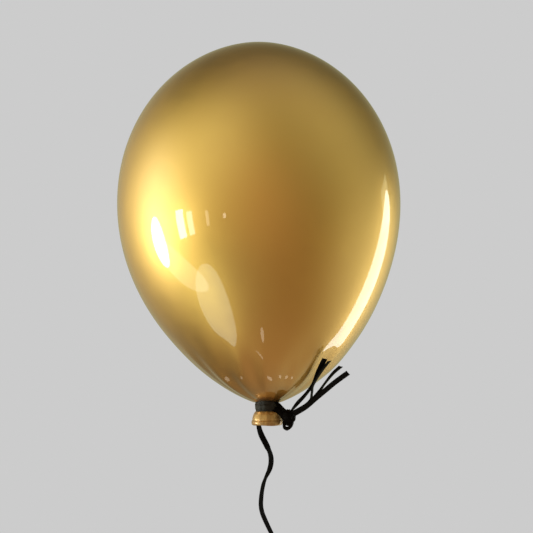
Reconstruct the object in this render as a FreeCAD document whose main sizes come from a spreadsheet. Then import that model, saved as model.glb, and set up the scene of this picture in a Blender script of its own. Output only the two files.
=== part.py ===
"""A round latex party balloon tied at the neck with flat curling ribbon.

Frame: millimetres, +Z up, front facing -Y, origin at the middle of the tie on the neck.
The latex envelope is one moulded piece in life. It is drawn here as its stretches: the
inflated bulb, the gathered neck, the flared skirt below the tie and the rolled bead.
"""

import FreeCAD, Part
import math
import os

import Sketcher

os.makedirs("parts", exist_ok=True)
doc = FreeCAD.newDocument("balloon")
Vector = FreeCAD.Vector

# ---------------------------------------------------------------- driving dimensions
SIZES = {
    # latex envelope
    "balloon_diameter": 254,
    "pear_length": 325.4,
    "crown_exponent": 0.525,
    "taper_exponent": 0.652,
    "latex_wall": 0.3,
    "lean_angle": 1.7,
    "neck_radius": 8.9,
    "neck_below_band": 0.6,
    "pleat_count": 16,
    "pleat_radius": 0.9,
    "bulb_seat": 0.5,
    "shoulder_step": 1.4,
    "skirt_flare": 3.7,
    "skirt_wall": 0.6,
    "flare_length": 4.8,
    "mouth_length": 5.6,
    "bead_radius": 1.2,
    "bead_sink": 0.4,
    # tie ribbon, its knot and its four cut ends
    "ribbon_width": 4.9,
    "wrap_height": 5.8,
    "ribbon_thickness": 0.4,
    "band_thickness": 1.3,
    "running_gap": 0.45,
    "strand_radius": 1.2,
    "strand_azimuth": -14,
    "knot_radius": 6,
    "knot_gap": 1.8,
    "knot_azimuth": -23.1,
    "knot_drop": 9.9,
    "bight_radius": 2.1,
    "bight_strand": 1.4,
    "fan_lean": 1.2811,
    "layer_pitch": 0.8,
    "tail_1_length": 81.8,
    "tail_2_length": 81.1,
    "tail_3_length": 80.2,
    "tail_4_length": 78.2,
    "tail_1_angle": 67.1,
    "tail_2_angle": 63.7,
    "tail_3_angle": 55.1,
    "tail_4_angle": 47.9,
    "tail_slant": 2.2,
    # hanging ribbon and its put-away hank
    "hitch_radius": 2.4,
    "hitch_side": -7.9,
    "hitch_drop": 3,
    "cord_diameter": 5,
    "coil_diameter": 55,
    "coil_turns": 7,
    "coil_center_x": -8.78,
    "coil_center_z": -158,
    "coil_start_y": -7.5,
    "coil_tie_wall": 1.5,
    "coil_tie_width": 6,
}

sheet = doc.addObject("Spreadsheet::Sheet", "sizes")
for row, (alias, number) in enumerate(SIZES.items(), start=1):
    sheet.set(f"A{row}", alias)
    sheet.set(f"B{row}", str(number))
    sheet.setAlias(f"B{row}", alias)
doc.recompute()


def size(alias):
    """The number in the sheet's cell of that name."""
    return float(sheet.get(alias))


NODES = []


def node(item, label):
    """Register a finished sub-part under the name its file takes."""
    item.Label = label
    NODES.append(item)
    return item


# ---------------------------------------------------------------- modelling helpers
def origin_plane(body, role):
    return next(p for p in body.Origin.OriginFeatures if p.Role == role)


def new_sketch(body, role, name):
    sketch = body.newObject("Sketcher::SketchObject", name)
    sketch.AttachmentSupport = [(origin_plane(body, role), "")]
    sketch.MapMode = "FlatFace"
    return sketch


def bind(sketch, kind, line, expression):
    """Hold a line's first point at a signed distance from the sketch's origin."""
    value = float(sketch.evalExpression(expression))
    if abs(value) < 1e-9:
        across = -2 if kind == "DistanceX" else -1
        sketch.addConstraint(Sketcher.Constraint("PointOnObject", line, 1, across))
        return
    if value > 0:
        rule = Sketcher.Constraint(kind, -1, 1, line, 1, value)
    else:
        rule = Sketcher.Constraint(kind, line, 1, -1, 1, -value)
        expression = f"-({expression})"
    index = sketch.addConstraint(rule)
    sketch.setExpression(f"Constraints[{index}]", expression)


def closed_outline(sketch, corners):
    """Draw straight sides through corners given as pairs of expressions."""
    points = []
    for across, up in corners:
        x = float(sketch.evalExpression(across))
        y = float(sketch.evalExpression(up))
        points.append(Vector(x, y, 0))
    count = len(points)
    for i in range(count):
        sketch.addGeometry(Part.LineSegment(points[i], points[(i + 1) % count]), False)
    for i in range(count):
        sketch.addConstraint(Sketcher.Constraint("Coincident", i, 2, (i + 1) % count, 1))
    for i, (across, up) in enumerate(corners):
        bind(sketch, "DistanceX", i, across)
        bind(sketch, "DistanceY", i, up)


def turned_body(label, corners):
    """A body turned about +Z from an outline of (radius, height) expressions."""
    body = doc.addObject("PartDesign::Body", label)
    sketch = new_sketch(body, "XZ_Plane", label + "_outline")
    closed_outline(sketch, corners)
    turn = body.newObject("PartDesign::Revolution", label + "_turn")
    turn.Profile = sketch
    turn.ReferenceAxis = (sketch, ["V_Axis"])
    turn.Angle = 360
    body.Tip = turn
    return node(body, label)


def polar(radius, azimuth, height):
    angle = math.radians(azimuth)
    return Vector(radius * math.cos(angle), radius * math.sin(angle), height)


# ---------------------------------------------------------------- latex envelope
def pear_radius(share):
    """Outer radius of the inflated latex at a share of its full length, 0 at the tip."""
    crown = size("crown_exponent")
    taper = size("taper_exponent")
    widest = (crown / (crown + taper)) ** crown * (taper / (crown + taper)) ** taper
    return size("balloon_diameter") / 2 * (1 - share) ** crown * share**taper / widest


def pear_outline(floor_z, inset, count=28):
    """Points from the crown to the bulb's floor, moved inward from the outer skin by inset.

    The pear's own tip is at the middle of the tie, which gathers everything below the floor.
    """
    length = size("pear_length")
    start = floor_z / length
    points = []
    for i in range(count + 1):
        share = start + (1 - start) * (1 + math.cos(math.pi * i / count)) / 2
        low = share - 1e-5
        high = min(share + 1e-5, 1)
        slope_r = pear_radius(high) - pear_radius(low)
        slope_z = (high - low) * length
        long = math.hypot(slope_r, slope_z)
        radius = pear_radius(share) - inset * slope_z / long
        points.append(Vector(max(radius, 0), 0, share * length + inset * slope_r / long))
    points[0] = Vector(0, 0, length - inset)
    return points


def turned_pear(points):
    """A solid of revolution about Z whose side passes through the points."""
    side = Part.BSplineCurve()
    side.interpolate(Points=points, InitialTangent=Vector(1, 0, 0), FinalTangent=points[-1] - points[-2])
    foot = Vector(0, 0, points[-1].z)
    edges = [
        side.toShape(),
        Part.makeLine(points[-1], foot),
        Part.makeLine(foot, points[0]),
    ]
    face = Part.Face(Part.Wire(edges))
    return Part.makeSolid(face.revolve(Vector(0, 0, 0), Vector(0, 0, 1), 360))


floor_z = size("wrap_height") + size("bulb_seat")
outer_pear = turned_pear(pear_outline(floor_z, 0))
gas_space = turned_pear(pear_outline(floor_z, size("latex_wall")))
latex_bulb = doc.addObject("Part::Feature", "latex_bulb")
latex_bulb.Shape = outer_pear.cut(gas_space)
latex_bulb.Placement = FreeCAD.Placement(Vector(), FreeCAD.Rotation(Vector(0, 1, 0), -size("lean_angle")))
node(latex_bulb, "latex_bulb")

# the neck inside the tie, gathered into pleats, its top sunk in the bulb's floor
neck = doc.addObject("PartDesign::Body", "gathered_neck")
neck_sketch = new_sketch(neck, "XY_Plane", "neck_round")
neck_sketch.addGeometry(Part.Circle(Vector(), Vector(0, 0, 1), size("neck_radius")), False)
neck_sketch.addConstraint(Sketcher.Constraint("Coincident", 0, 3, -1, 1))
neck_sketch.addConstraint(Sketcher.Constraint("Radius", 0, size("neck_radius")))
neck_sketch.setExpression("Constraints[1]", "sizes.neck_radius")
neck_pad = neck.newObject("PartDesign::Pad", "neck_pad")
neck_pad.Profile = neck_sketch
neck_pad.SideType = "Two sides"
neck_pad.setExpression("Length", "sizes.wrap_height + sizes.bulb_seat + sizes.latex_wall")
neck_pad.setExpression("Length2", "sizes.wrap_height + sizes.neck_below_band")
pleat_sketch = new_sketch(neck, "XY_Plane", "pleat_round")
pleat_sketch.addGeometry(Part.Circle(Vector(size("neck_radius"), 0, 0), Vector(0, 0, 1), 1), False)
pleat_sketch.addConstraint(Sketcher.Constraint("PointOnObject", 0, 3, -1))
pleat_sketch.addConstraint(Sketcher.Constraint("DistanceX", -1, 1, 0, 3, size("neck_radius")))
pleat_sketch.addConstraint(Sketcher.Constraint("Radius", 0, size("pleat_radius")))
pleat_sketch.setExpression("Constraints[1]", "sizes.neck_radius")
pleat_sketch.setExpression("Constraints[2]", "sizes.pleat_radius")
pleat_cut = neck.newObject("PartDesign::Pocket", "pleat_cut")
pleat_cut.Profile = pleat_sketch
pleat_cut.Type = "ThroughAll"
pleat_cut.SideType = "Symmetric"
doc.recompute()
pleats = neck.newObject("PartDesign::PolarPattern", "pleats")
pleats.Originals = [pleat_cut]
pleats.Axis = (neck_sketch, ["N_Axis"])
pleats.Angle = 360
pleats.setExpression("Occurrences", "sizes.pleat_count")
neck.Tip = pleats
node(neck, "gathered_neck")

# the tail of the neck below the tie: a shoulder, a flare and a straight mouth
BAND_FOOT = "-sizes.wrap_height"
FLARE_FOOT = "-sizes.wrap_height - sizes.flare_length"
MOUTH_FOOT = "-sizes.wrap_height - sizes.flare_length - sizes.mouth_length"
UNDER_SHOULDER = "-sizes.wrap_height - sizes.neck_below_band"
SHOULDER = "sizes.neck_radius + sizes.shoulder_step"
SKIRT = "sizes.neck_radius + sizes.skirt_flare"
turned_body(
    "neck_skirt",
    [
        ("sizes.neck_radius", BAND_FOOT),
        (SHOULDER, BAND_FOOT),
        (SKIRT, FLARE_FOOT),
        (SKIRT, MOUTH_FOOT),
        (SKIRT + " - sizes.skirt_wall", MOUTH_FOOT),
        (SKIRT + " - sizes.skirt_wall", FLARE_FOOT),
        (SHOULDER + " - sizes.skirt_wall", UNDER_SHOULDER),
        ("sizes.neck_radius", UNDER_SHOULDER),
    ],
)

# the rolled lip closes the skirt's lower edge and starts flush with the mouth's bore
bead = doc.addObject("Part::Torus", "rolled_bead")
bead.setExpression("Radius1", SKIRT + " - sizes.skirt_wall + sizes.bead_radius")
bead.setExpression("Radius2", "sizes.bead_radius")
mouth_foot = -size("wrap_height") - size("flare_length") - size("mouth_length")
bead.Placement.Base = Vector(0, 0, mouth_foot - size("bead_radius") + size("bead_sink"))
node(bead, "rolled_bead")


# ---------------------------------------------------------------- tie ribbon on the neck
def wrap(label, low, high):
    """One stack of ribbon turns round the neck, between two heights."""
    inner = "sizes.neck_radius"
    outer = "sizes.neck_radius + sizes.band_thickness"
    turned_body(label, [(inner, low), (outer, low), (outer, high), (inner, high)])


wrap("tie_wrap_upper", "0", "sizes.wrap_height")
wrap("tie_wrap_lower", "-sizes.wrap_height", "0")

band_radius = size("neck_radius") + size("band_thickness")
strand_line = band_radius + size("strand_radius") + size("running_gap")
skirt_radius = size("neck_radius") + size("skirt_flare")
knot_reach = skirt_radius + size("knot_radius") + size("knot_gap")
knot_center = polar(knot_reach, size("knot_azimuth"), -size("knot_drop"))

knot = doc.addObject("Part::Sphere", "tie_knot")
knot.setExpression("Radius", "sizes.knot_radius")
knot.Placement.Base = knot_center
node(knot, "tie_knot")


def bridge(label, height):
    """A strand from the band's side to the knot, trimmed to the knot's surface."""
    root = polar(strand_line, size("strand_azimuth"), height)
    along = knot_center - root
    rod = doc.addObject("Part::Cylinder", label + "_rod")
    rod.setExpression("Radius", "sizes.strand_radius")
    rod.Height = along.Length
    rod.Placement = FreeCAD.Placement(root, FreeCAD.Rotation(Vector(0, 0, 1), along))
    eye = doc.addObject("Part::Sphere", label + "_eye")
    eye.setExpression("Radius", "sizes.strand_radius")
    eye.Placement.Base = root
    joined = doc.addObject("Part::Fuse", label + "_joined")
    joined.Base = rod
    joined.Tool = eye
    core = doc.addObject("Part::Sphere", label + "_core")
    core.setExpression("Radius", "sizes.knot_radius")
    core.Placement.Base = knot_center
    trimmed = doc.addObject("Part::Cut", label)
    trimmed.Base = joined
    trimmed.Tool = core
    return node(trimmed, label)


bridge("tie_bridge_upper", -size("strand_radius"))
bridge("tie_bridge_lower", -3.5 * size("strand_radius"))

# the small open loop of ribbon left under the knot
bight_drop = size("knot_radius") + 1.5 * size("bight_radius")
bight_ring = doc.addObject("Part::Torus", "bight_ring")
bight_ring.setExpression("Radius1", "sizes.bight_radius")
bight_ring.setExpression("Radius2", "sizes.bight_strand")
bight_turn = FreeCAD.Rotation(Vector(1, 0, 0), 90)
bight_ring.Placement = FreeCAD.Placement(knot_center - Vector(0, 0, bight_drop), bight_turn)
bight_core = doc.addObject("Part::Sphere", "bight_core")
bight_core.setExpression("Radius", "sizes.knot_radius")
bight_core.Placement.Base = knot_center
bight = doc.addObject("Part::Cut", "knot_bight")
bight.Base = bight_ring
bight.Tool = bight_core
node(bight, "knot_bight")


bulb_flare = size("balloon_diameter") / size("pear_length")


def tail(number, layer):
    """One cut end: a flat strip that starts clear of the knot and ends in a slant."""
    label = f"tail_{number}"
    body = doc.addObject("PartDesign::Body", label)
    sketch = new_sketch(body, "XY_Plane", label + "_outline")
    start = "sizes.knot_radius + sizes.running_gap"
    edge = "sizes.ribbon_width / 2"
    full = f"sizes.{label}_length"
    short = f"sizes.{label}_length - sizes.tail_slant"
    closed_outline(
        sketch,
        [(start, f"-{edge}"), (full, f"-{edge}"), (short, edge), (start, edge)],
    )
    pad = body.newObject("PartDesign::Pad", label + "_pad")
    pad.Profile = sketch
    pad.setExpression("Length", "sizes.ribbon_thickness")
    pad.SideType = "Symmetric"
    body.Tip = pad
    tilt = math.atan(size("fan_lean") * bulb_flare)
    rise = Vector(0, -math.sin(tilt), math.cos(tilt))
    facing = Vector(1, 0, 0).cross(rise)
    turn = FreeCAD.Rotation(Vector(1, 0, 0), rise, facing, "ZXY")
    swing = FreeCAD.Rotation(Vector(0, 0, 1), size(f"{label}_angle"))
    offset = facing * (layer * size("layer_pitch"))
    body.Placement = FreeCAD.Placement(knot_center + offset, turn * swing)
    return node(body, label)


for number, layer in ((1, -1.5), (2, -0.5), (3, 0.5), (4, 1.5)):
    tail(number, layer)

# ---------------------------------------------------------------- hanging ribbon
hitch_reach = band_radius + size("hitch_radius") + size("running_gap")
hitch_back = math.sqrt(hitch_reach**2 - size("hitch_side") ** 2)
hitch_center = Vector(size("hitch_side"), hitch_back, -size("hitch_drop"))

hitch = doc.addObject("Part::Sphere", "hanger_hitch")
hitch.setExpression("Radius", "sizes.hitch_radius")
hitch.Placement.Base = hitch_center
node(hitch, "hanger_hitch")

coil_entry = Vector(
    size("coil_center_x") + size("coil_diameter") / 2,
    size("coil_start_y"),
    size("coil_center_z"),
)
ROUTE_BELOW_HITCH = [
    Vector(-8.2, 18.2, -15),
    Vector(-6.6, 18.0, -26),
    Vector(-0.4, 16.4, -37.5),
    Vector(4.0, 14.6, -47),
    Vector(3.4, 13.2, -58),
    Vector(-2.6, 12.3, -69),
    Vector(-5.2, 11.6, -82),
    Vector(-5.8, 10.2, -95),
    Vector(-0.6, 7.2, -107),
    Vector(5.5, 3.0, -119),
    Vector(10.6, -1.6, -131),
    Vector(15.0, -5.2, -144),
]
leaving = (ROUTE_BELOW_HITCH[0] - hitch_center).normalize()
first_point = hitch_center + leaving * (size("hitch_radius") + size("running_gap"))
route = [first_point] + ROUTE_BELOW_HITCH + [coil_entry]


def rounded_route(points):
    """Straight runs joined by tangent arcs as large as the runs allow; prints the radii."""
    edges = []
    cursor = points[0]
    radii = []
    for before, corner, after in zip(points, points[1:], points[2:]):
        back = before - corner
        ahead = after - corner
        turn = math.pi - back.getAngle(ahead)
        cut = 0.45 * min(back.Length, ahead.Length)
        radius = cut / math.tan(turn / 2)
        back.normalize()
        ahead.normalize()
        enter = corner + back * cut
        leave = corner + ahead * cut
        inward = (back + ahead).normalize()
        center_reach = radius / math.cos(turn / 2)
        middle = corner + inward * (center_reach - radius)
        edges.append(Part.LineSegment(cursor, enter).toShape())
        edges.append(Part.Arc(enter, middle, leave).toShape())
        cursor = leave
        radii.append(round(radius, 1))
    edges.append(Part.LineSegment(cursor, points[-1]).toShape())
    print("cord arc radii", radii, "smallest", min(radii))
    return Part.Wire(edges)


def tube_along(path, diameter):
    start = path.Edges[0].valueAt(path.Edges[0].FirstParameter)
    along = path.Edges[0].tangentAt(path.Edges[0].FirstParameter)
    section = Part.Wire(Part.makeCircle(diameter / 2, start, along))
    solid = path.makePipeShell([section], True, False)
    wanted = math.pi * diameter**2 / 4 * path.Length
    print("cord tube volume", round(solid.Volume), "section times length", round(wanted))
    print("cord tube length", round(path.Length, 1))
    return solid


ribbon = doc.addObject("Part::Feature", "hanging_ribbon")
ribbon.Shape = tube_along(rounded_route(route), size("cord_diameter"))
node(ribbon, "hanging_ribbon")

# the hank: the outer shape of the flat ribbon's turns, on a level axis from front to back
coil_depth = (size("coil_turns") + 1) * size("cord_diameter")
coil = doc.addObject("PartDesign::Body", "ribbon_coil")
coil_sketch = new_sketch(coil, "XY_Plane", "coil_rings")
for index, sign in enumerate("+-"):
    rim = f"(sizes.coil_diameter {sign} sizes.cord_diameter) / 2"
    radius = float(coil_sketch.evalExpression(rim))
    coil_sketch.addGeometry(Part.Circle(Vector(), Vector(0, 0, 1), radius), False)
    coil_sketch.addConstraint(Sketcher.Constraint("Coincident", index, 3, -1, 1))
    rule = coil_sketch.addConstraint(Sketcher.Constraint("Radius", index, radius))
    coil_sketch.setExpression(f"Constraints[{rule}]", rim)
coil_pad = coil.newObject("PartDesign::Pad", "coil_pad")
coil_pad.Profile = coil_sketch
coil_pad.setExpression("Length", "(sizes.coil_turns + 1) * sizes.cord_diameter")
coil.Tip = coil_pad
coil_front = size("coil_start_y") - size("cord_diameter") / 2
coil_base = Vector(size("coil_center_x"), coil_front, size("coil_center_z"))
coil.Placement = FreeCAD.Placement(coil_base, FreeCAD.Rotation(Vector(1, 0, 0), -90))
node(coil, "ribbon_coil")

# a scrap of ribbon round the hank at its top keeps the turns together
tie = doc.addObject("PartDesign::Body", "coil_tie")
tie_sketch = new_sketch(tie, "YZ_Plane", "coil_tie_outline")
tie_wall = "sizes.coil_tie_wall"
deep = "(sizes.coil_turns + 1) * sizes.cord_diameter / 2"
tall = "sizes.cord_diameter / 2"
inner = [(f"-{deep}", f"-{tall}"), (deep, f"-{tall}"), (deep, tall), (f"-{deep}", tall)]
outer = [
    (f"-{deep} - {tie_wall}", f"-{tall} - {tie_wall}"),
    (f"{deep} + {tie_wall}", f"-{tall} - {tie_wall}"),
    (f"{deep} + {tie_wall}", f"{tall} + {tie_wall}"),
    (f"-{deep} - {tie_wall}", f"{tall} + {tie_wall}"),
]
closed_outline(tie_sketch, outer)
tie_pad = tie.newObject("PartDesign::Pad", "coil_tie_pad")
tie_pad.Profile = tie_sketch
tie_pad.setExpression("Length", "sizes.coil_tie_width")
tie_pad.SideType = "Symmetric"
tie_hole_sketch = new_sketch(tie, "YZ_Plane", "coil_tie_hole")
closed_outline(tie_hole_sketch, inner)
tie_hole = tie.newObject("PartDesign::Pocket", "coil_tie_through")
tie_hole.Profile = tie_hole_sketch
tie_hole.Type = "ThroughAll"
tie_hole.SideType = "Symmetric"
tie.Tip = tie_hole
tie_height = size("coil_center_z") + size("coil_diameter") / 2
tie.Placement.Base = Vector(size("coil_center_x"), coil_front + coil_depth / 2, tie_height)
node(tie, "coil_tie")

# ---------------------------------------------------------------- checks and export
doc.recompute()
for item in doc.Objects:
    if "Invalid" in item.State or "Error" in item.State:
        raise RuntimeError(f"{item.Label} did not build: {item.State}")
if neck.Shape.Volume > 0.99 * neck_pad.Shape.Volume:
    raise RuntimeError("the pleats cut nothing from the neck")
for item in NODES:
    shape = item.Shape
    if shape.isNull() or not shape.isValid():
        raise RuntimeError(f"{item.Label} has no valid shape")
    if len(shape.Solids) != 1:
        raise RuntimeError(f"{item.Label} holds {len(shape.Solids)} solids")
    shape.exportStep(f"parts/{item.Label}.step")
    print(item.Label, round(shape.Volume, 1), "mm3")
hung = [ribbon, coil, tie]
hung_volume = sum(item.Shape.Volume for item in hung)
for axis in "xyz":
    moment = sum(i.Shape.Volume * getattr(i.Shape.Solids[0].CenterOfMass, axis) for i in hung)
    print("hung centre of mass", axis, round(moment / hung_volume, 2))
print("hitch centre", hitch_center, "knot centre", knot_center)
print("strand line", polar(strand_line, size("strand_azimuth"), 0))
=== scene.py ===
import math

import bpy
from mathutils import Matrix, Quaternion, Vector, noise


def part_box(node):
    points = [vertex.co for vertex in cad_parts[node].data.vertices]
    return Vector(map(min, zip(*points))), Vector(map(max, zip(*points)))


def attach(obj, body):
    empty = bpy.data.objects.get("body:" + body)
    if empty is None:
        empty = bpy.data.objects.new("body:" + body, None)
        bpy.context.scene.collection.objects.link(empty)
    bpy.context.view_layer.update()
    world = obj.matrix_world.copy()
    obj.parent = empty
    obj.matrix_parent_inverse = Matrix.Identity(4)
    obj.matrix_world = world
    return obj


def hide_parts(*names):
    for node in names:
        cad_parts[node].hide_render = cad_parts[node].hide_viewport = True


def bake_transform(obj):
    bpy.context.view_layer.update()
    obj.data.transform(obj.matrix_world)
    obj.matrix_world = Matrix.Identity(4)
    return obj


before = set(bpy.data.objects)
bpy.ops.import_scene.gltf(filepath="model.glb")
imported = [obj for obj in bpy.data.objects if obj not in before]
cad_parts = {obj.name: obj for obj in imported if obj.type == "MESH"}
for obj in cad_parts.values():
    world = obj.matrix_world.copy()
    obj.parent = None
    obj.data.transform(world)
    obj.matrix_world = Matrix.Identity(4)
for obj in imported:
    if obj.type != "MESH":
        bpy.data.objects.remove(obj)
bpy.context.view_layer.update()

MM = 0.001

# ---------------------------------------------------------------- places taken from the frame
bulb_low, bulb_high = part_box("latex_bulb")
knot_low, knot_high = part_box("tie_knot")
hitch_low, hitch_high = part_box("hanger_hitch")
coil_low, coil_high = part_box("ribbon_coil")
bight_low, bight_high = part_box("knot_bight")

BAND_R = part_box("tie_wrap_upper")[1].x
CROWN_Z = bulb_high.z
BULB_R = (bulb_high.y - bulb_low.y) / 2
KNOT = (knot_low + knot_high) / 2
KNOT_R = (knot_high.x - knot_low.x) / 2
HITCH = (hitch_low + hitch_high) / 2
COIL = (coil_low + coil_high) / 2

RIBBON_WIDTH = 5 * MM
RIBBON_THICKNESS = 0.25 * MM
COIL_RADIUS = (coil_high.x - coil_low.x) / 2 - RIBBON_WIDTH / 2


# ---------------------------------------------------------------- camera
def make_camera():
    """Level with the bulb and far enough back for little perspective."""
    distance = 2.2
    seen_width = 0.4784
    data = bpy.data.cameras.new("camera")
    data.sensor_width = 36
    data.lens = data.sensor_width * distance / seen_width
    camera = bpy.data.objects.new("camera", data)
    bpy.context.collection.objects.link(camera)
    camera.location = (-0.45 * MM, -distance, 123.9 * MM)
    camera.rotation_euler = (math.radians(90), 0, 0)
    bpy.context.scene.camera = camera


make_camera()
bpy.context.scene.view_settings.view_transform = "Standard"


# ---------------------------------------------------------------- materials
def new_material(name):
    """A new node material: itself, its tree and its shader."""
    material = bpy.data.materials.new(name)
    material.use_nodes = True
    tree = material.node_tree
    shader = tree.nodes["Principled BSDF"]
    return material, tree, shader


def add_node(tree, kind, inputs=None, **fields):
    made = tree.nodes.new(kind)
    for key, value in fields.items():
        setattr(made, key, value)
    for key, value in (inputs or {}).items():
        made.inputs[key].default_value = value
    return made


def object_coordinates(tree):
    return add_node(tree, "ShaderNodeTexCoord").outputs["Object"]


def bump_chain(tree, shader, layers):
    """Stack bumps from (height socket, depth in metres) onto the shader's normal."""
    normal = None
    for height, depth in layers:
        bump = add_node(tree, "ShaderNodeBump", {"Strength": 1.0, "Distance": depth})
        tree.links.new(height, bump.inputs["Height"])
        if normal is not None:
            tree.links.new(normal, bump.inputs["Normal"])
        normal = bump.outputs["Normal"]
    tree.links.new(normal, shader.inputs["Normal"])


def noise_texture(tree, place, scale, detail=3.0, roughness=0.5):
    texture = add_node(
        tree,
        "ShaderNodeTexNoise",
        {"Scale": scale, "Detail": detail, "Roughness": roughness},
    )
    tree.links.new(place, texture.inputs["Vector"])
    return texture.outputs["Fac"]


def colour_ramp(tree, factor, stops):
    ramp = add_node(tree, "ShaderNodeValToRGB")
    elements = ramp.color_ramp.elements
    while len(elements) < len(stops):
        elements.new(0.5)
    for element, (position, colour) in zip(elements, stops):
        element.position = position
        element.color = (*colour, 1)
    tree.links.new(factor, ramp.inputs["Fac"])
    return ramp.outputs["Color"]


def map_range(tree, value, low, high, to_low, to_high):
    made = add_node(
        tree,
        "ShaderNodeMapRange",
        {"From Min": low, "From Max": high, "To Min": to_low, "To Max": to_high},
    )
    tree.links.new(value, made.inputs["Value"])
    return made.outputs["Result"]


def gold_latex():
    """Pearl gold latex: a metallic body under a clear wet gloss, browner towards the neck."""
    material, tree, shader = new_material("gold_latex")
    place = object_coordinates(tree)
    split = add_node(tree, "ShaderNodeSeparateXYZ")
    tree.links.new(place, split.inputs["Vector"])
    cloud = noise_texture(tree, place, 9.0, 4.0)
    height = map_range(tree, split.outputs["Z"], 0.0, CROWN_Z, 0.0, 1.0)
    drift = add_node(tree, "ShaderNodeMath", {1: 0.14, 2: -0.07}, operation="MULTIPLY_ADD")
    tree.links.new(cloud, drift.inputs[0])
    sum_up = add_node(tree, "ShaderNodeMath", operation="ADD")
    tree.links.new(height, sum_up.inputs[0])
    tree.links.new(drift.outputs[0], sum_up.inputs[1])
    colour = colour_ramp(
        tree,
        sum_up.outputs[0],
        [
            (0.0, (0.66, 0.36, 0.10)),
            (0.16, (0.78, 0.45, 0.11)),
            (0.45, (0.84, 0.51, 0.11)),
            (0.80, (0.82, 0.50, 0.11)),
            (1.0, (0.74, 0.46, 0.13)),
        ],
    )
    tree.links.new(colour, shader.inputs["Base Color"])
    rough = map_range(tree, noise_texture(tree, place, 60.0, 5.0), 0.3, 0.7, 0.38, 0.45)
    tree.links.new(rough, shader.inputs["Roughness"])
    shader.inputs["Metallic"].default_value = 1.0
    shader.inputs["Coat Weight"].default_value = 1.0
    shader.inputs["Coat Roughness"].default_value = 0.03
    shader.inputs["Coat IOR"].default_value = 1.9
    flakes = noise_texture(tree, place, 2600.0, 2.0)
    ripple = noise_texture(tree, place, 14.0, 2.0)
    bump_chain(tree, shader, [(ripple, 0.00035), (flakes, 0.000012)])
    return material


def neck_latex(name, deep, pale):
    """Unstretched latex: deeper gold, satin, with fine lengthwise creases; painted shade darkens
    their valleys and a painted highlight pales their ridges.
    """
    material, tree, shader = new_material(name)
    place = object_coordinates(tree)
    mapping = add_node(tree, "ShaderNodeMapping", {"Scale": (1.0, 1.0, 0.25)})
    tree.links.new(place, mapping.inputs["Vector"])
    creases_and_shade = noise_texture(tree, mapping.outputs["Vector"], 420.0, 4.0)
    # The colour follows the crease bump: painted shade in the valleys and painted highlight on the
    # ridges, over the deeper gold the unstretched latex really has.
    colour = colour_ramp(tree, creases_and_shade, [(0.3, deep), (0.7, pale)])
    tree.links.new(colour, shader.inputs["Base Color"])
    rough = map_range(tree, creases_and_shade, 0.3, 0.7, 0.42, 0.28)
    tree.links.new(rough, shader.inputs["Roughness"])
    shader.inputs["Metallic"].default_value = 0.5
    shader.inputs["Coat Weight"].default_value = 0.35
    shader.inputs["Coat Roughness"].default_value = 0.15
    bump_chain(tree, shader, [(creases_and_shade, 0.00025)])
    return material


def ribbon_black(name, tone, shine):
    """Crimped polypropylene ribbon: near black, satin, ribbed along its length."""
    material, tree, shader = new_material(name)
    place = object_coordinates(tree)
    across = add_node(tree, "ShaderNodeUVMap", uv_map="strip")
    split = add_node(tree, "ShaderNodeSeparateXYZ")
    tree.links.new(across.outputs["UV"], split.inputs["Vector"])
    phase = add_node(tree, "ShaderNodeMath", {1: math.tau * 9}, operation="MULTIPLY")
    tree.links.new(split.outputs["X"], phase.inputs[0])
    ribs = add_node(tree, "ShaderNodeMath", operation="SINE")
    tree.links.new(phase.outputs[0], ribs.inputs[0])
    wear = noise_texture(tree, place, 900.0, 4.0)
    colour = colour_ramp(
        tree,
        wear,
        [(0.35, tuple(0.6 * c for c in tone)), (0.75, tuple(1.5 * c for c in tone))],
    )
    tree.links.new(colour, shader.inputs["Base Color"])
    rough = map_range(tree, wear, 0.3, 0.7, 0.38, 0.58)
    tree.links.new(rough, shader.inputs["Roughness"])
    shader.inputs["Specular IOR Level"].default_value = shine
    bump_chain(tree, shader, [(ribs.outputs[0], 0.00003), (wear, 0.00006)])
    return material


GOLD = gold_latex()
NECK = neck_latex("neck_latex", (0.36, 0.185, 0.06), (0.66, 0.40, 0.15))
BEAD = neck_latex("bead_latex", (0.30, 0.145, 0.05), (0.58, 0.34, 0.13))
TIE = ribbon_black("tie_ribbon", (0.0046, 0.0032, 0.0032), 0.03)
# The band is the tie ribbon again with a paler tone: painted sheen standing in for the grey shine
# on its turns. Its higher shine value is real specular.
BAND_PAINTED_SHEEN = ribbon_black("tie_band_painted_sheen", (0.016, 0.0125, 0.0115), 0.30)
HANGER = ribbon_black("hanging_ribbon", (0.0034, 0.0026, 0.0028), 0.02)


# ---------------------------------------------------------------- mesh helpers
def add_mesh(name, verts, faces, material, body, nodes=(), uvs=None):
    mesh = bpy.data.meshes.new(name)
    mesh.from_pydata([tuple(v) for v in verts], [], faces)
    if uvs is not None:
        layer = mesh.uv_layers.new(name="strip")
        for loop in mesh.loops:
            layer.data[loop.index].uv = uvs[loop.vertex_index]
    mesh.materials.append(material)
    for polygon in mesh.polygons:
        polygon.use_smooth = True
    mesh.update()
    piece = bpy.data.objects.new(name, mesh)
    bpy.context.collection.objects.link(piece)
    if body:
        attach(piece, body)
    if nodes:
        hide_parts(*nodes)
    return piece


def grid_faces(rows, columns, close_rows=False, close_columns=False):
    """Quads of a grid whose vertices run row by row."""
    faces = []
    for i in range(rows if close_rows else rows - 1):
        for j in range(columns if close_columns else columns - 1):
            i2 = (i + 1) % rows
            j2 = (j + 1) % columns
            faces.append((i * columns + j, i * columns + j2, i2 * columns + j2, i2 * columns + j))
    return faces


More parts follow.
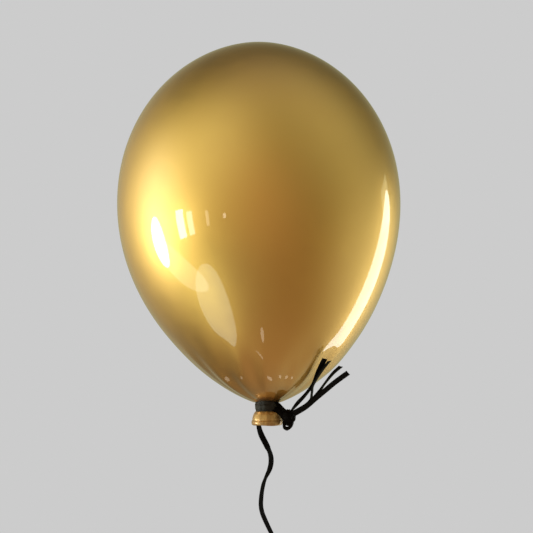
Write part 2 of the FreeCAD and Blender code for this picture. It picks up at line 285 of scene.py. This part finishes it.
def smooth_through(points, steps):
    """Points along a smooth curve through given ones; works on any tuples of numbers."""
    path = []
    last = len(points) - 1
    for i in range(last):
        a = points[max(i - 1, 0)]
        b = points[i]
        c = points[i + 1]
        d = points[min(i + 2, last)]
        for step in range(steps):
            t = step / steps
            row = []
            for p, q, r, s in zip(a, b, c, d):
                row.append(
                    0.5
                    * (
                        2 * q
                        + (r - p) * t
                        + (2 * p - 5 * q + 4 * r - s) * t**2
                        + (3 * q - p - 3 * r + s) * t**3
                    )
                )
            path.append(tuple(row))
    path.append(tuple(points[last]))
    return path


def tangents(path, closed=False):
    """The path's direction at each of its points."""
    count = len(path)
    found = []
    for i in range(count):
        before = path[(i - 1) % count] if closed else path[max(i - 1, 0)]
        after = path[(i + 1) % count] if closed else path[min(i + 1, count - 1)]
        found.append((after - before).normalized())
    return found


def strip_mesh(path, across, half_widths, closed=False, curl=0.0):
    """A thin ribbon with square edges along path; across gives its width's direction."""
    verts = []
    uvs = []
    along = 0.0
    ways = tangents(path, closed)
    for i, (point, way, side, half) in enumerate(zip(path, ways, across, half_widths)):
        side = (side - way * side.dot(way)).normalized()
        face = way.cross(side)
        if i:
            along += (point - path[i - 1]).length
        ring = [(-1, -1), (-0.5, -1), (0, -1), (0.5, -1), (1, -1)]
        ring += [(1, 1), (0.5, 1), (0, 1), (-0.5, 1), (-1, 1)]
        for u, v in ring:
            arch = curl * half * (1 - u * u)
            verts.append(point + side * (u * half) + face * (v * RIBBON_THICKNESS / 2 + arch))
            uvs.append((0.5 + 0.5 * u, along))
    columns = 10
    faces = grid_faces(len(path), columns, close_rows=closed, close_columns=True)
    if not closed:
        first = [j for j in range(columns)]
        last = [(len(path) - 1) * columns + j for j in range(columns)]
        faces.append(tuple(reversed(first)))
        faces.append(tuple(last))
    return verts, faces, uvs


def joined(parts):
    """Several (verts, faces, uvs) as one."""
    verts, faces, uvs = [], [], []
    for some_verts, some_faces, some_uvs in parts:
        base = len(verts)
        verts += some_verts
        faces += [tuple(base + k for k in face) for face in some_faces]
        uvs += some_uvs
    return verts, faces, uvs


WOBBLE_SEED = 5  # unless a seed is set, noise_vector differs from one run to the next
noise.seed_set(WOBBLE_SEED)


def wobble(point, scale, amount, seed=0.0):
    """A small smooth push that depends only on the place."""
    shifted = Vector(point) * scale + Vector((seed, 2 * seed, 3 * seed))
    return noise.noise_vector(shifted) * amount


def loop_round(center, axis, radius_a, radius_b, start, half=0.42 * RIBBON_WIDTH, seed=0.0):
    """A closed turn of ribbon pulled round the knot, lying across an axis."""
    axis = Vector(axis).normalized()
    first = axis.cross(Vector((0.3, 0.2, 1))).normalized()
    second = axis.cross(first)
    count = 64
    path = []
    for i in range(count):
        angle = math.tau * i / count + start
        along_first = first * (radius_a * math.cos(angle))
        along_second = second * (radius_b * math.sin(angle))
        point = center + along_first + along_second
        path.append(point + wobble(point, 260, 0.35 * MM, seed))
    across = []
    for point in path:
        across.append(axis + wobble(point, 200, 0.5, seed + 5))
    return strip_mesh(path, across, [half] * count, closed=True)


def lumpy_ball(center, radii, seed, rows=28, columns=40, amount=0.45 * MM):
    """An uneven ellipsoid: what shows between the turns of a knot."""
    verts = []
    for i in range(rows):
        polar = math.pi * (i + 0.5) / rows
        for j in range(columns):
            angle = math.tau * j / columns
            way = Vector(
                (
                    math.sin(polar) * math.cos(angle),
                    math.sin(polar) * math.sin(angle),
                    math.cos(polar),
                )
            )
            point = center + Vector([way[k] * radii[k] for k in range(3)])
            verts.append(point + wobble(point, 330, amount, seed))
    faces = grid_faces(rows, columns, close_columns=True)
    faces = [tuple(reversed(face)) for face in faces]
    faces.append(tuple(range(columns)))
    faces.append(tuple(reversed(range((rows - 1) * columns, rows * columns))))
    return verts, faces, [(0.5, 0.0)] * len(verts)


# ---------------------------------------------------------------- hanging ribbon
ROUTE = [
    (-7.96, 11.65, -4.94),
    (-8.2, 18.2, -15),
    (-6.6, 18.0, -26),
    (-0.4, 16.4, -37.5),
    (4.0, 14.6, -47),
    (3.4, 13.2, -58),
    (-2.6, 12.3, -69),
    (-5.2, 11.6, -82),
    (-5.8, 10.2, -95),
    (-0.6, 7.2, -107),
    (5.5, 3.0, -119),
    (10.6, -1.6, -131),
    (15.0, -5.2, -144),
]
COIL_TURNS = 7
POINTS_PER_TURN = 16
SPLINE_STEPS = 8


def coil_points():
    """Control points of the put-away hank: turns a ribbon's width apart, front to back."""
    start_y = coil_low.y + RIBBON_WIDTH / 2
    points = []
    for i in range(COIL_TURNS * POINTS_PER_TURN + 1):
        angle = -math.tau * i / POINTS_PER_TURN
        reach = COIL_RADIUS / math.cos(math.pi / POINTS_PER_TURN)
        y = start_y + RIBBON_WIDTH * i / POINTS_PER_TURN
        points.append(
            Vector((COIL.x + reach * math.cos(angle), y, COIL.z + reach * math.sin(angle)))
        )
    return points


def route_spline(points):
    curve = bpy.data.curves.new("ribbon_route", "CURVE")
    curve.dimensions = "3D"
    spline = curve.splines.new("NURBS")
    spline.points.add(len(points) - 1)
    for target, point in zip(spline.points, points):
        target.co = (*point, 1)
    spline.order_u = 3
    spline.use_endpoint_u = True
    spline.resolution_u = SPLINE_STEPS
    bare = bpy.data.objects.new("ribbon_route", curve)
    bpy.context.collection.objects.link(bare)
    mesh = bpy.data.meshes.new_from_object(bare)
    line = [v.co.copy() for v in mesh.vertices]
    bpy.data.objects.remove(bare)
    bpy.data.meshes.remove(mesh)
    return line


TWISTS = [
    (0, 62),
    (12, 56),
    (19, 32),
    (28, 2),
    (36, 4),
    (41, 40),
    (50, 30),
    (57, 34),
    (62, 48),
    (67, 60),
    (75, 50),
    (90, 42),
    (104, 38),
    (118, 42),
    (130, 60),
    (150, 90),
    (170, 90),
]


def twist_at(travel):
    """The ribbon's turn off facing front, in degrees, at a distance along it in mm."""
    for (a, low), (b, high) in zip(TWISTS, TWISTS[1:]):
        if travel <= b:
            t = max(0.0, (travel - a) / (b - a))
            t = t * t * (3 - 2 * t)
            return low + (high - low) * t
    return TWISTS[-1][1]


def make_hanging_ribbon():
    """The flat ribbon along its route, twisting as it falls, with the hank at its end."""
    line = route_spline([Vector(p) * MM for p in ROUTE] + coil_points())
    ways = tangents(line)
    across = []
    travel = 0.0
    for i, (point, way) in enumerate(zip(line, ways)):
        if i:
            travel += (point - line[i - 1]).length
        sideways = way.cross(Vector((0, 1, 0))).normalized()
        depth = way.cross(sideways).normalized()
        turn = math.radians(twist_at(travel / MM))
        across.append(sideways * math.cos(turn) + depth * math.sin(turn))
    hanging = len(line) - COIL_TURNS * POINTS_PER_TURN * SPLINE_STEPS
    halves = [(0.53 if i < hanging else 0.48) * RIBBON_WIDTH for i in range(len(line))]
    verts, faces, uvs = strip_mesh(line, across, halves)
    piece = add_mesh(
        "ribbon_hanging",
        verts,
        faces,
        HANGER,
        "ribbon",
        ["hanging_ribbon", "ribbon_coil"],
        uvs,
    )
    tie = make_coil_tie()
    piece.visible_glossy = False
    tie.visible_glossy = False


def make_coil_tie():
    """A scrap of ribbon round the top of the hank, closed with a flat overhand."""
    low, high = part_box("coil_tie")
    middle = (low + high) / 2
    half_deep = (high.y - low.y) / 2 - 1.6 * MM
    half_tall = 1.5 * MM
    path = []
    count = 72
    for i in range(count):
        angle = math.tau * i / count
        c, s = math.cos(angle), math.sin(angle)
        deep = half_deep * math.copysign(abs(c) ** 0.25, c)
        tall = half_tall * math.copysign(abs(s) ** 0.5, s)
        path.append(middle + Vector((0.3 * MM * math.sin(2 * angle), deep, tall)))
    across = [Vector((1, 0, 0))] * count
    parts = [strip_mesh(path, across, [0.49 * RIBBON_WIDTH] * count, closed=True)]
    top = Vector((middle.x, middle.y, middle.z + half_tall + 0.9 * MM))
    parts.append(lumpy_ball(top, (2.4 * MM, 2.2 * MM, 1.5 * MM), 21.0, 14, 20, 0.3 * MM))
    verts, faces, uvs = joined(parts)
    return add_mesh(
        "hank_tie", verts, faces, HANGER, "ribbon", ["coil_tie"], uvs
    )


def make_hitch():
    """The hanging ribbon's own small knot behind the band."""
    r = 0.86 * (hitch_high.x - hitch_low.x) / 2
    center = HITCH + Vector((0, 0.5 * MM, -0.3 * MM))
    parts = [lumpy_ball(center, (0.85 * r, 0.8 * r, 0.9 * r), 9.0, 18, 26, 0.3 * MM)]
    for axis, seed in (((1, 0.2, 0.1), 31.0), ((0.1, 0.3, 1), 37.0), ((0.6, 0.1, 0.8), 41.0)):
        turn = loop_round(center, axis, 0.95 * r, 0.95 * r, seed, half=1.3 * MM, seed=seed)
        parts.append(turn)
    verts, faces, uvs = joined(parts)
    return add_mesh(
        "hitch_knot", verts, faces, HANGER, "hitch", ["hanger_hitch"], uvs
    )


make_hanging_ribbon()
make_hitch()


# ---------------------------------------------------------------- latex bulb
CROWN_POWER = 0.525
TAPER_POWER = 0.652


def pear_radius(share):
    """The bulb's radius at a share of the height from neck to crown."""
    total = CROWN_POWER + TAPER_POWER
    peak = (CROWN_POWER / total) ** CROWN_POWER * (TAPER_POWER / total) ** TAPER_POWER
    return BULB_R * (1 - share) ** CROWN_POWER * share**TAPER_POWER / peak


def bulb_midline(z):
    """The bulb sits a little to the left of its neck."""
    full_shift = -7.4 * MM
    reach = 78 * MM
    return full_shift * (1 - math.exp(-((z / reach) ** 2)))


def gathers(angle):
    """Small folds the tie pulls into the latex, by the angle round the neck."""
    return math.cos(11 * angle + 0.7) + 0.7 * math.cos(17 * angle + 2.1)


def droop(angle):
    """The bulb's lower edge sags over the band in front and behind."""
    return (0.6 - 1.1 * math.cos(2 * angle)) * MM


def pleat(angle, z):
    """Long soft pleats that fade out from the neck, in metres."""
    depth = 2.6 * MM * math.exp(-(((z - 0.026) / 0.026) ** 2))
    place = Vector((4.6 * math.cos(angle), 4.6 * math.sin(angle), z / 0.040))
    return depth * noise.noise(place)


def make_bulb():
    """The inflated skin, with its lower edge tucked into the band."""
    columns = 256
    rows = 150
    lip_share = 2.6 * MM / CROWN_Z
    verts = []
    for i in range(rows):
        share = lip_share + (1 - lip_share) * (1 + math.cos(math.pi * i / rows)) / 2
        radius = pear_radius(min(share, 1 - 1e-9))
        z = share * CROWN_Z
        near_neck = math.exp(-z / (11 * MM))
        for j in range(columns):
            angle = math.tau * j / columns
            lift = droop(angle) * near_neck
            r = radius + 0.34 * MM * gathers(angle) * near_neck + pleat(angle, z)
            verts.append(
                Vector((r * math.cos(angle) + bulb_midline(z), r * math.sin(angle), z + lift))
            )
    tuck = [(11.2, 2.4), (10.5, 3.0), (10.2, 4.1), (9.8, 5.2), (9.0, 6.0), (6.0, 6.2)]
    for r_mm, z_mm in tuck:
        for j in range(columns):
            angle = math.tau * j / columns
            lift = droop(angle) * max(0, 1 - (z_mm - tuck[0][1]) / 3)
            r = r_mm * MM + 0.22 * MM * gathers(angle)
            verts.append(Vector((r * math.cos(angle), r * math.sin(angle), z_mm * MM + lift)))
    faces = grid_faces(rows + len(tuck), columns, close_columns=True)
    faces = [tuple(reversed(face)) for face in faces]
    top = len(verts)
    verts.append(Vector((bulb_midline(CROWN_Z), 0, CROWN_Z)))
    for j in range(columns):
        faces.append((top, j, (j + 1) % columns))
    bottom = len(verts)
    verts.append(Vector((0, 0, tuck[-1][1] * MM)))
    base = (rows + len(tuck) - 1) * columns
    for j in range(columns):
        faces.append((bottom, base + (j + 1) % columns, base + j))
    return add_mesh("bulb_skin", verts, faces, GOLD, "balloon", ["latex_bulb"])


make_bulb()


# ---------------------------------------------------------------- skirt and rolled lip
def make_skirt():
    """The neck's tail: gathered out from under the tie, flared, hollow below."""
    outside = [(8.9, -4.6), (9.9, -5.9), (10.9, -7.0), (11.9, -8.6), (12.6, -10.4), (13.1, -12.3)]
    outside += [(13.2, -14.2)]
    inside = [(12.6, -14.2), (12.5, -12.3), (12.0, -10.4), (11.2, -8.6), (10.2, -7.2), (8.6, -6.6)]
    profile = smooth_through(outside, 5) + smooth_through(inside, 4)
    columns = 144
    verts = []
    for r_mm, z_mm in profile:
        fade = max(0.0, min(1.0, (z_mm + 15) / 10))
        for j in range(columns):
            angle = math.tau * j / columns
            folds = math.cos(8 * angle + 0.4) + 0.8 * math.cos(13 * angle + 1.9)
            push = (0.22 * folds * fade + 0.10 * math.cos(3 * angle + 1)) * MM
            r = r_mm * MM + push
            verts.append(Vector((r * math.cos(angle), r * math.sin(angle), z_mm * MM)))
    faces = grid_faces(len(profile), columns, close_rows=True, close_columns=True)
    return add_mesh("skirt_skin", verts, faces, NECK, "balloon", ["neck_skirt"])


def make_cuff():
    """The moulded lip, rolled on itself into an uneven cuff."""
    columns = 160
    around = 28
    verts = []
    for i in range(columns):
        angle = math.tau * i / columns
        sway = 0.25 * math.cos(angle - 0.6) + 0.12 * math.cos(3 * angle + 0.5)
        tall = 2.45 + 0.18 * math.cos(2 * angle + 1) + 0.1 * math.cos(5 * angle)
        thick = 1.25 + 0.1 * math.cos(4 * angle + 2)
        for j in range(around):
            turn = math.tau * j / around
            groove = 0.16 * math.exp(-(((turn - 0.9) / 0.16) ** 2))
            out = 12.75 + (thick - groove) * math.cos(turn)
            z = -15.85 + sway * 0.7 + (tall - groove) * math.sin(turn)
            verts.append(
                Vector((out * math.cos(angle), out * math.sin(angle), z)) * MM
            )
    faces = grid_faces(columns, around, close_rows=True, close_columns=True)
    return add_mesh("rolled_cuff", verts, faces, BEAD, "balloon", ["rolled_bead"])


make_skirt()
make_cuff()
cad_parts["gathered_neck"].data.materials.clear()
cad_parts["gathered_neck"].data.materials.append(NECK)


# ---------------------------------------------------------------- tie ribbon round the neck
def band_turns(name, turns, node):
    """Ribbon wound round the neck; each turn is (height, lift, tilt, phase) in mm and radians."""
    parts = []
    count = 120
    for height, out, tilt, phase in turns:
        path = []
        across = []
        for i in range(count):
            angle = math.tau * i / count
            crinkle = 0.10 * math.sin(9 * angle + phase) + 0.07 * math.sin(14 * angle + 2 * phase)
            r = BAND_R + (out + crinkle) * MM
            z = (height + tilt * math.sin(angle + phase)) * MM
            path.append(Vector((r * math.cos(angle), r * math.sin(angle), z)))
            lean = 0.10 * math.sin(5 * angle + phase)
            across.append(Vector((lean * math.cos(angle), lean * math.sin(angle), 1)))
        halves = [0.49 * RIBBON_WIDTH] * count
        parts.append(strip_mesh(path, across, halves, closed=True))
    verts, faces, uvs = joined(parts)
    return add_mesh(name, verts, faces, BAND_PAINTED_SHEEN, "balloon", [node], uvs)


UPPER_TURNS = [
    (3.1, -1.0, 0.4, 0.3),
    (2.6, -0.55, -0.7, 1.7),
    (3.0, -0.15, 0.6, 3.0),
    (1.5, 0.1, 0.9, 4.4),
]
LOWER_TURNS = [
    (-3.0, -1.0, 0.4, 2.3),
    (-2.4, -0.6, 0.8, 0.7),
    (-3.2, -0.2, -0.5, 5.0),
    (-1.2, 0.25, -1.0, 3.9),
]
band_turns("band_turns_upper", UPPER_TURNS, "tie_wrap_upper")
band_turns("band_turns_lower", LOWER_TURNS, "tie_wrap_lower")


# ---------------------------------------------------------------- knot, bridging strands, loop
def ribbon_along(points, steps=10, half=0.49 * RIBBON_WIDTH, curl=0.0):
    """A ribbon through (x, y, z, twist) rows in mm and degrees; twist turns it off facing front."""
    rows = smooth_through(points, steps)
    path = [Vector(row[:3]) * MM for row in rows]
    across = []
    for row, way in zip(rows, tangents(path)):
        sideways = way.cross(Vector((0, 1, 0))).normalized()
        depth = way.cross(sideways).normalized()
        turn = math.radians(row[3])
        across.append(sideways * math.cos(turn) + depth * math.sin(turn))
    return strip_mesh(path, across, [half] * len(path), curl=curl)


def make_knot():
    shape = Vector((KNOT_R * 0.92, KNOT_R * 0.85, KNOT_R * 0.96))
    hump = KNOT + Vector((2.2, 0.0, -1.2)) * MM
    parts = [lumpy_ball(KNOT, shape, 1.0), lumpy_ball(hump, 0.9 * shape, 23.0)]
    turns = [
        ((0.75, -0.35, 0.55), 0.90, 1.00, 0.4, 3.0),
        ((1.0, 0.1, -0.25), 1.00, 0.92, 1.9, 7.0),
        ((0.35, 0.2, 1.0), 1.04, 0.96, 2.6, 11.0),
        ((-0.5, 0.1, 0.9), 0.98, 1.02, 4.0, 15.0),
        ((-0.8, 0.2, 0.5), 1.00, 0.94, 5.1, 19.0),
    ]
    for axis, a, b, start, seed in turns:
        parts.append(loop_round(KNOT, axis, a * KNOT_R, b * KNOT_R, start, seed=seed))
    verts, faces, uvs = joined(parts)
    return add_mesh("knot_turns", verts, faces, TIE, "knot", ["tie_knot"], uvs)


def rope_mesh(points, around=16, closed=True):
    """A bunched ribbon through (x, y, z, thickness, depth) rows in mm: a soft, ridged strand."""
    rows = smooth_through(points + [points[0]] if closed else points, 8)
    if closed:
        rows = rows[:-1]
    path = [Vector(row[:3]) * MM for row in rows]
    verts = []
    for i, (row, way) in enumerate(zip(rows, tangents(path, closed))):
        depth = Vector((0, 1, 0))
        side = way.cross(depth).normalized()
        for j in range(around):
            turn = math.tau * j / around
            ridge = 1 + 0.10 * math.cos(4 * turn + 0.35 * i)
            point = path[i] + side * (0.5 * row[3] * MM * ridge * math.cos(turn))
            point += depth * (0.5 * row[4] * MM * ridge * math.sin(turn))
            verts.append(point + wobble(point, 320, 0.2 * MM, 4.0))
    faces = grid_faces(len(path), around, close_rows=closed, close_columns=True)
    return verts, faces, [(0.5, 0.0)] * len(verts)


def make_bight():
    """The small loop of ribbon pulled out under the knot, its hole nearly closed."""
    center = (bight_low + bight_high) / 2
    x, y = center.x / MM, center.y / MM
    foot = bight_low.z / MM
    loop = [
        (x - 1.0, y, foot + 1.4, 3.3, 3.6),
        (x + 1.3, y, foot + 2.5, 3.2, 4.0),
        (x + 2.9, y, foot + 5.2, 3.3, 4.6),
        (x + 3.1, y, foot + 8.6, 3.4, 4.8),
        (x - 2.2, y, foot + 8.6, 3.4, 4.8),
        (x - 3.2, y, foot + 5.2, 3.3, 4.6),
        (x - 3.0, y, foot + 2.5, 3.2, 4.0),
    ]
    crotch = Vector((x - 0.1, y, foot + 6.3)) * MM
    parts = [rope_mesh(loop), lumpy_ball(crotch, (2.6 * MM, 2.4 * MM, 2.7 * MM), 27.0)]
    verts, faces, uvs = joined(parts)
    return add_mesh("knot_loop", verts, faces, TIE, "knot", ["knot_bight"], uvs)


def make_strand(name, points, node):
    """A strand from the band to the knot: it belongs to no body and keeps the place it is built in.
    """
    verts, faces, uvs = ribbon_along(points, curl=0.12)
    piece = add_mesh(name, verts, faces, TIE, None, [node], uvs)
    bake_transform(piece)


make_knot()
make_bight()
make_strand(
    "strand_upper",
    [
        (6.4, -7.6, 1.2, 4),
        (9.6, -5.4, -0.2, 0),
        (12.0, -5.8, -2.6, 0),
        (14.8, -8.0, -5.3, 5),
        (18.4, -10.6, -7.2, 12),
    ],
    "tie_bridge_upper",
)
make_strand(
    "strand_lower",
    [
        (5.2, -8.8, -3.2, -8),
        (8.6, -7.2, -4.6, -4),
        (11.6, -7.4, -6.6, 0),
        (14.2, -8.8, -9.6, 6),
        (16.6, -10.4, -13.0, 14),
    ],
    "tie_bridge_lower",
)

# ---------------------------------------------------------------- the four cut ends
TAIL_POINTS = {
    1: [
        (21.4, -5.7, 70),
        (27.7, 2.8, 42),
        (34.6, 11.0, 50),
        (40.8, 20.3, 48),
        (45.2, 32.0, 32),
        (50.6, 43.4, 14),
    ],
    2: [
        (22.4, -6.4, 60),
        (33.4, 0.2, 60),
        (38.6, 6.0, 64),
        (39.7, 11.6, 62),
        (40.3, 17.6, 62),
        (43.2, 24.4, 60),
        (48.7, 33.6, 56),
        (54.7, 41.5, 60),
    ],
    3: [
        (23.4, -6.8, 40),
        (33.7, -0.5, 42),
        (40.8, 6.7, 50),
        (46.7, 14.4, 56),
        (50.7, 20.4, 62),
        (57.9, 30.1, 52),
        (64.7, 36.6, 46),
    ],
    4: [
        (24.2, -7.8, 22),
        (34.1, -1.4, 16),
        (43.2, 7.0, 12),
        (52.1, 15.0, 10),
        (60.3, 22.3, 8),
        (71.2, 30.8, 6),
    ],
}


def make_tail(number, layer):
    """A cut end in its own layer of the fan, which leans forward over the bulb's underside."""
    rows = []
    for x, z, twist in TAIL_POINTS[number]:
        depth = KNOT.y / MM - (z - KNOT.z / MM) + layer
        rows.append((x, depth, z, twist))
    verts, faces, uvs = ribbon_along(rows, steps=12, half=0.47 * RIBBON_WIDTH, curl=0.1)
    name = f"cut_end_{number}"
    node = f"tail_{number}"
    return add_mesh(name, verts, faces, TIE, node, [node], uvs)


for number, layer in ((1, 2.3), (2, 0.7), (3, -0.9), (4, -2.0)):
    make_tail(number, layer)

# ---------------------------------------------------------------- floor, light, surroundings
LIGHT_CENTER = Vector((-0.04, 0, 0.15))
LIGHT_DISTANCE = 1.5

DAYLIGHT = (0.85, 0.95, 1.0)
GREENISH = (0.8, 1.0, 0.9)
PALE = (1.0, 1.0, 0.6)
LAMP = (1.0, 0.9, 0.7)
WARM = (1.0, 0.65, 0.35)

# Soft boxes: bearing and height as seen from the balloon (0 is towards the camera, positive is
# right), width, height and roll in degrees, brightness, tint, and whether it is round.
PANELS = [
    ("window_pane_1", -89, -15, 14, 22, 8, 6.5, DAYLIGHT, True),
    ("window_pane_2", -63, -9, 7, 14, 6, 6, DAYLIGHT, False),
    ("window_pane_3", -54, -9, 5, 12, 6, 3, DAYLIGHT, False),
    ("window_pane_4", -39, -7, 2.5, 8, 6, 1.6, LAMP, False),
    ("lamp_left", -25, -6, 2.5, 3, 0, 2.4, LAMP, True),
    ("window_sill", -75, -29, 44, 15, -40, 0.8, GREENISH, True),
    ("board_left", -56, -50, 25, 42, -25, 0.9, GREENISH, True),
    ("door_right", 122, -19, 18, 50, 0, 2.2, DAYLIGHT, True),
    ("door_right_top", 120, 2, 12, 14, 25, 0.8, PALE, False),
    ("low_lamp_1", 2, -69, 2.5, 7, 0, 1.2, LAMP, True),
    ("low_lamp_2", -40, -81, 3, 6, 20, 1, LAMP, True),
    ("low_lamp_3", 132, -69, 2.5, 4, -30, 1, LAMP, True),
    ("low_lamp_4", 160, -77, 2.5, 7, 20, 1, LAMP, True),
    ("low_lamp_5", -140, -64, 2.5, 5, 20, 0.8, LAMP, True),
]

# The room's own soft light: a direction, how narrow, the tint that comes from there, how strong.
ROOM = [
    ((-1, 0, 0), 16, DAYLIGHT, 1.1),
    ((-1, 0, 0), 5, PALE, 1.1),
    ((-1, -1, -1), 5, PALE, 0.35),
    ((-1, -1, 1), 5, PALE, 0.75),
    ((-1, 1, 0), 5, LAMP, 0.3),
    ((1, 0, 0), 5, PALE, 0.3),
    ((1, 0, -0.4), 12, PALE, 0.3),
    ((1, 1, -1), 5, PALE, 0.5),
    ((1, 0, 1), 5, PALE, 0.3),
    ((1, -1, -1), 5, WARM, 0.2),
    ((1, -1, 1), 5, PALE, 0.2),
    ((0, -1, 0), 5, WARM, 0.4),
    ((0, 0, 1), 5, LAMP, 0.25),
    ((0, 0, -1), 5, WARM, 0.35),
    ((0, 1, 0), 5, PALE, 0.3),
]
BACKDROP = (0.604, 0.604, 0.604, 1)


def soft_box(name, bearing, height, wide, tall, roll, brightness, colour, is_round):
    """An area light facing the balloon; the camera doesn't see it, the latex does."""
    across, up = math.radians(bearing), math.radians(height)
    way = Vector(
        (math.cos(up) * math.sin(across), -math.cos(up) * math.cos(across), math.sin(up))
    )
    data = bpy.data.lights.new(name, "AREA")
    data.shape = "ELLIPSE" if is_round else "RECTANGLE"
    data.size = 2 * LIGHT_DISTANCE * math.tan(math.radians(wide / 2))
    data.size_y = 2 * LIGHT_DISTANCE * math.tan(math.radians(tall / 2))
    data.energy = math.pi * data.size * data.size_y * brightness
    data.color = colour
    lamp = bpy.data.objects.new(name, data)
    bpy.context.collection.objects.link(lamp)
    lamp.location = LIGHT_CENTER + way * LIGHT_DISTANCE
    lamp.rotation_mode = "QUATERNION"
    spin = Quaternion((0, 0, 1), math.radians(roll))
    lamp.rotation_quaternion = (-way).to_track_quat("-Z", "Y") @ spin
    lamp.visible_camera = False


def make_floor():
    """A plain pale disc well below the ribbon."""
    mesh = bpy.data.meshes.new("floor")
    radius = 3.3
    count = 96
    floor_z = -0.5
    verts = []
    for i in range(count):
        angle = math.tau * i / count
        verts.append((radius * math.cos(angle), radius * math.sin(angle), floor_z))
    mesh.from_pydata(verts, [], [tuple(range(count))])
    material, _, shader = new_material("floor")
    shader.inputs["Base Color"].default_value = (0.62, 0.63, 0.68, 1)
    shader.inputs["Roughness"].default_value = 0.8
    shader.inputs["Emission Color"].default_value = (0.50, 0.50, 0.56, 1)
    shader.inputs["Emission Strength"].default_value = 0.5
    mesh.materials.append(material)
    floor = bpy.data.objects.new("floor", mesh)
    bpy.context.collection.objects.link(floor)
    floor.visible_glossy = False


def make_room():
    """Pale grey behind everything; warm soft light from the room's directions on the balloon."""
    world = bpy.data.worlds.new("room")
    bpy.context.scene.world = world
    world.use_nodes = True
    tree = world.node_tree
    tree.nodes.clear()
    way = add_node(tree, "ShaderNodeVectorMath", operation="NORMALIZE")
    coordinates = add_node(tree, "ShaderNodeTexCoord")
    tree.links.new(coordinates.outputs["Generated"], way.inputs[0])
    total = None
    for direction, narrowness, tint, strength in ROOM:
        colour = Vector(tint) * strength
        dot = add_node(
            tree,
            "ShaderNodeVectorMath",
            {1: Vector(direction).normalized()},
            operation="DOT_PRODUCT",
        )
        tree.links.new(way.outputs[0], dot.inputs[0])
        facing = add_node(tree, "ShaderNodeMath", {1: 0.0}, operation="MAXIMUM")
        tree.links.new(dot.outputs["Value"], facing.inputs[0])
        lobe = add_node(tree, "ShaderNodeMath", {1: narrowness}, operation="POWER")
        tree.links.new(facing.outputs[0], lobe.inputs[0])
        light = add_node(tree, "ShaderNodeVectorMath", {0: colour}, operation="SCALE")
        tree.links.new(lobe.outputs[0], light.inputs["Scale"])
        if total is None:
            total = light.outputs[0]
        else:
            both = add_node(tree, "ShaderNodeVectorMath", operation="ADD")
            tree.links.new(total, both.inputs[0])
            tree.links.new(light.outputs[0], both.inputs[1])
            total = both.outputs[0]
    room = add_node(tree, "ShaderNodeBackground", {"Strength": 1.0})
    tree.links.new(total, room.inputs["Color"])
    seen = add_node(tree, "ShaderNodeBackground", {"Color": BACKDROP, "Strength": 1.0})
    path = add_node(tree, "ShaderNodeLightPath")
    mix = add_node(tree, "ShaderNodeMixShader")
    tree.links.new(path.outputs["Is Camera Ray"], mix.inputs["Fac"])
    tree.links.new(room.outputs["Background"], mix.inputs[1])
    tree.links.new(seen.outputs["Background"], mix.inputs[2])
    output = add_node(tree, "ShaderNodeOutputWorld")
    tree.links.new(mix.outputs["Shader"], output.inputs["Surface"])


make_floor()
make_room()
for panel in PANELS:
    soft_box(*panel)
